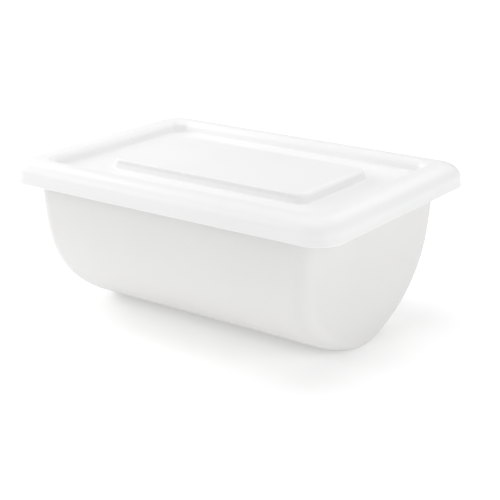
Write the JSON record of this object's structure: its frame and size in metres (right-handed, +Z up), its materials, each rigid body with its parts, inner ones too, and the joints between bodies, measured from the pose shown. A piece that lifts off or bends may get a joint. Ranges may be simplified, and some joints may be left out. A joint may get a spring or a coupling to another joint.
{
  "type": "plastic storage crate",
  "caption": "Trough-shaped white plastic storage crate with curved long sides, near-upright end walls, a flat rim flange and an overhanging lift-off lid with a rolled rim and a raised centre panel.",
  "frame": {"origin": "centre of the base strip, on the plane the crate rests on", "axes": "+X along the long side, +Y across, +Z up towards the lid"},
  "size_m": [0.6, 0.42, 0.2521],
  "materials": {
    "tub_plastic": "satin moulded",
    "lid_plastic": "satin moulded"
  },
  "bodies": {
    "tub": {"tub": "tub_plastic"},
    "lid": {"lid": "lid_plastic"}
  },
  "joints": [
    {"name": "lid_lift", "type": "slide", "parent": "tub", "child": "lid", "axis": [0, 0, 1], "range_m": [0, 0.25]}
  ]
}
